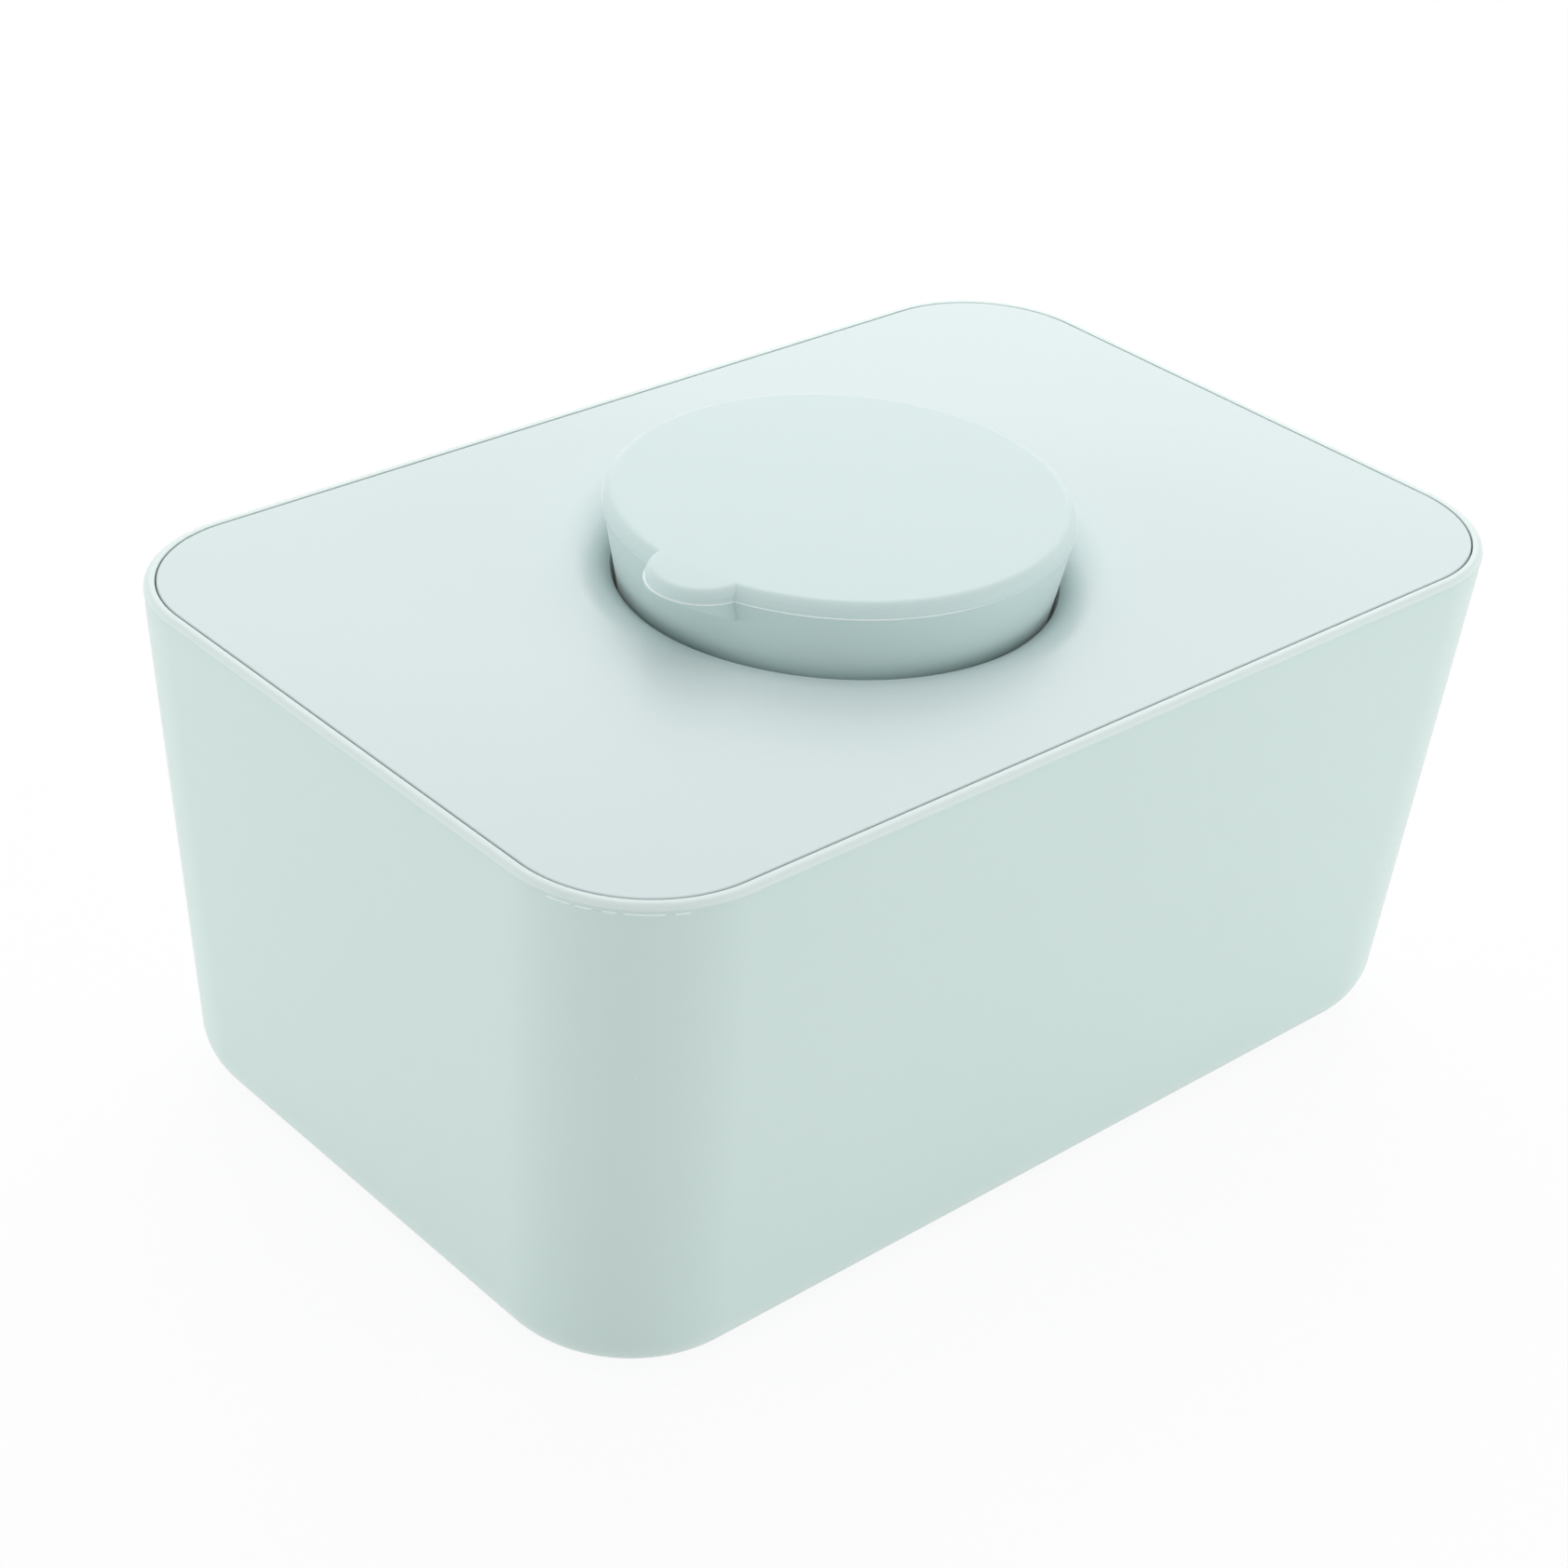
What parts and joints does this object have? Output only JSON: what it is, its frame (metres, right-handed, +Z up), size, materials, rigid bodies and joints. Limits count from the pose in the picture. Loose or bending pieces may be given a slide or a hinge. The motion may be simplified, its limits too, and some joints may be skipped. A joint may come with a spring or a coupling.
{
  "type": "wipes dispenser",
  "caption": "Tapered tub for folded wet wipes with a flush lift-off lid, a sunken round well with a soft slotted outlet, and a round silicone plug cap with a thumb tab.",
  "frame": {"origin": "on the surface that the feet stand on, under the middle of the tub", "axes": "+X along the tub's length, +Y to the rear across it, +Z up; the long front face looks along -Y and the cap's tab points roughly along -X"},
  "size_m": [0.1998, 0.1338, 0.1038],
  "materials": {
    "tub_plastic": "pale mint polypropylene, fine matte moulded face",
    "lid_plastic": "pale mint polypropylene, fine matte moulded face",
    "cap_silicone": "pale mint silicone, soft satin face",
    "outlet_silicone": "pale mint silicone, thin and soft",
    "seal_silicone": "whitish silicone, soft satin face",
    "foot_silicone": "whitish silicone, soft matte face"
  },
  "bodies": {
    "tub": {"tub": "tub_plastic", "foot_front_left": "foot_silicone", "foot_front_right": "foot_silicone", "foot_rear_left": "foot_silicone", "foot_rear_right": "foot_silicone"},
    "lid": {"lid_panel": "lid_plastic", "lid_seal": "seal_silicone", "outlet_insert": "outlet_silicone"},
    "cap": {"cap": "cap_silicone"}
  },
  "joints": [
    {"name": "lid_lift", "type": "slide", "parent": "tub", "child": "lid", "axis": [0, 0, 1], "range_m": [0, 0.05]},
    {"name": "cap_lift", "type": "slide", "parent": "lid", "child": "cap", "axis": [0, 0, 1], "range_m": [0, 0.045]}
  ]
}
